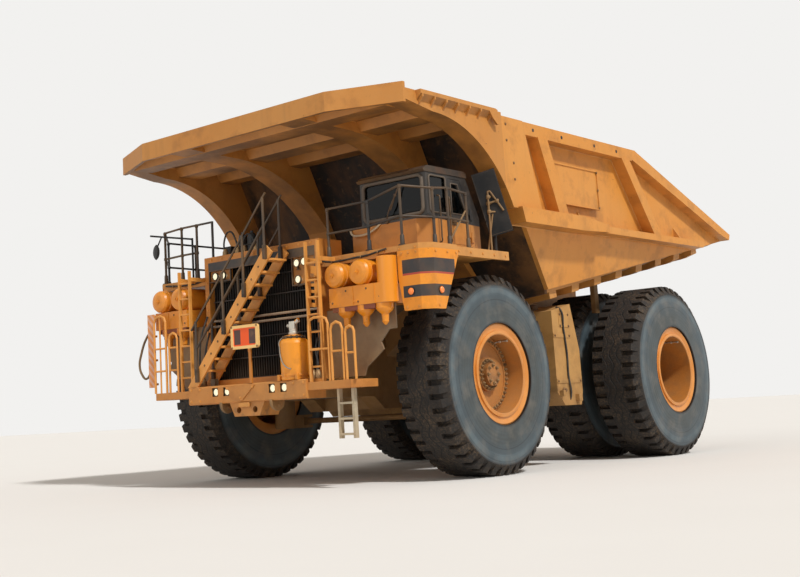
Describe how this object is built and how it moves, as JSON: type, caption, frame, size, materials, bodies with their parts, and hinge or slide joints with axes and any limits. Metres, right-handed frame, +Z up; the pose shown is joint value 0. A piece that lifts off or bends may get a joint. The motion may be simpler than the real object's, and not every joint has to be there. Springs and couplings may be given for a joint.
{
  "type": "rigid mining dump truck",
  "caption": "Rigid mining haul truck with a tipping bed and canopy, side cab over a front deck, front steering wheels and twin rear wheels.",
  "frame": {"origin": "middle of the truck's box at ground level", "axes": "+Y to the rear, +X to the truck's left, +Z up"},
  "size_m": [7.5509, 12.862, 6.494],
  "materials": {
    "dull_paint": "dirty matt",
    "orange_paint": "worn, dusty satin",
    "trim": "matt",
    "dark_paint": "satin",
    "glass": "tinted",
    "chrome_rod": "polished",
    "tyre": "worn, dusty",
    "bare_steel": "oily",
    "bed_paint": "worn, dusty matt",
    "sign": "gloss",
    "reservoir": "satin",
    "lamp": "clear"
  },
  "bodies": {
    "chassis": {"frame_rails": "dull_paint", "front_bumper": "orange_paint", "engine_block": "dull_paint", "radiator_core": "trim", "radiator_guard": "orange_paint", "front_deck": "orange_paint", "handrails": "dark_paint", "front_stair": "orange_paint", "access_ladders": "orange_paint", "air_cleaners": "orange_paint", "fenders": "orange_paint", "cab_shell": "orange_paint", "cab_roof": "dark_paint", "cab_glass": "glass", "cab_seat": "trim", "side_tanks": "dull_paint", "front_struts": "chrome_rod", "rear_axle": "dull_paint", "rear_struts": "chrome_rod", "drive_shaft": "bare_steel", "mirrors": "dark_paint", "sign_board": "sign", "reservoir": "reservoir", "lamps": "lamp", "splash_plates": "dull_paint"},
    "steer_left": {"knuckle_left": "dull_paint"},
    "steer_right": {"knuckle_right": "dull_paint"},
    "tie_rod": {"tie_rod": "dull_paint"},
    "front_wheel_left": {"tyre_front_left": "tyre", "wheel_front_left": "orange_paint"},
    "front_wheel_right": {"tyre_front_right": "tyre", "wheel_front_right": "orange_paint"},
    "rear_wheels_left": {"tyres_rear_left": "tyre", "wheels_rear_left": "orange_paint"},
    "rear_wheels_right": {"tyres_rear_right": "tyre", "wheels_rear_right": "orange_paint"},
    "bed": {"bed_floor": "bed_paint", "bed_sides": "bed_paint", "bed_front_wall": "bed_paint", "bed_canopy": "bed_paint", "rock_ejectors": "bare_steel"},
    "hoist_barrel": {"hoist_barrels": "dull_paint"},
    "hoist_sleeve": {"hoist_sleeves": "bare_steel"},
    "hoist_rod": {"hoist_rods": "chrome_rod"},
    "door": {"cab_door": "orange_paint", "cab_door_glass": "glass"}
  },
  "joints": [
    {"name": "steering", "type": "hinge", "parent": "chassis", "child": "steer_left", "pos_m": [1.93, -3.246, 1.74], "axis": [0, 0, 1], "range_deg": [-32, 32]},
    {"name": "steering_right", "type": "hinge", "parent": "chassis", "child": "steer_right", "pos_m": [-1.93, -3.246, 1.74], "axis": [0, 0, 1], "range_deg": [-32, 32]},
    {"name": "tie_rod_swing", "type": "hinge", "parent": "steer_left", "child": "tie_rod", "pos_m": [1.93, -2.626, 1.08], "axis": [0, 0, 1], "range_deg": [-32, 32]},
    {"name": "front_left_roll", "type": "hinge", "parent": "steer_left", "child": "front_wheel_left", "pos_m": [2.805, -3.246, 1.74], "axis": [1, 0, 0], "continuous": true},
    {"name": "front_right_roll", "type": "hinge", "parent": "steer_right", "child": "front_wheel_right", "pos_m": [-2.805, -3.246, 1.74], "axis": [1, 0, 0], "continuous": true},
    {"name": "rear_left_roll", "type": "hinge", "parent": "chassis", "child": "rear_wheels_left", "pos_m": [2.4815, 2.659, 1.74], "axis": [1, 0, 0], "continuous": true},
    {"name": "rear_right_roll", "type": "hinge", "parent": "chassis", "child": "rear_wheels_right", "pos_m": [-2.4815, 2.659, 1.74], "axis": [1, 0, 0], "continuous": true},
    {"name": "bed_lift", "type": "hinge", "parent": "chassis", "child": "bed", "pos_m": [0, 3.504, 2.75], "axis": [-1, 0, 0], "range_deg": [0, 50]},
    {"name": "hoist_tilt", "type": "hinge", "parent": "chassis", "child": "hoist_barrel", "pos_m": [0, 0.754, 1.15], "axis": [-1, 0, 0], "range_deg": [0, 19.19]},
    {"name": "hoist_stage", "type": "slide", "parent": "hoist_barrel", "child": "hoist_sleeve", "axis": [0, -0.0523, 0.9986], "range_m": [0, 1.1181]},
    {"name": "hoist_rod_stage", "type": "slide", "parent": "hoist_sleeve", "child": "hoist_rod", "axis": [0, -0.0523, 0.9986], "range_m": [0, 1.1181]},
    {"name": "cab_door_swing", "type": "hinge", "parent": "chassis", "child": "door", "pos_m": [3.169, -3.609, 4.5], "axis": [0, 0, 1], "range_deg": [0, 75]}
  ],
  "couplings": [
    {"joint": "steering_right", "follows": "steering", "ratio": 1},
    {"joint": "tie_rod_swing", "follows": "steering", "ratio": -1},
    {"joint": "hoist_tilt", "follows": "bed_lift", "ratio": 0.38355},
    {"joint": "hoist_stage", "follows": "bed_lift", "m_per_rad": 1.2801},
    {"joint": "hoist_rod_stage", "follows": "bed_lift", "m_per_rad": 1.2801}
  ]
}
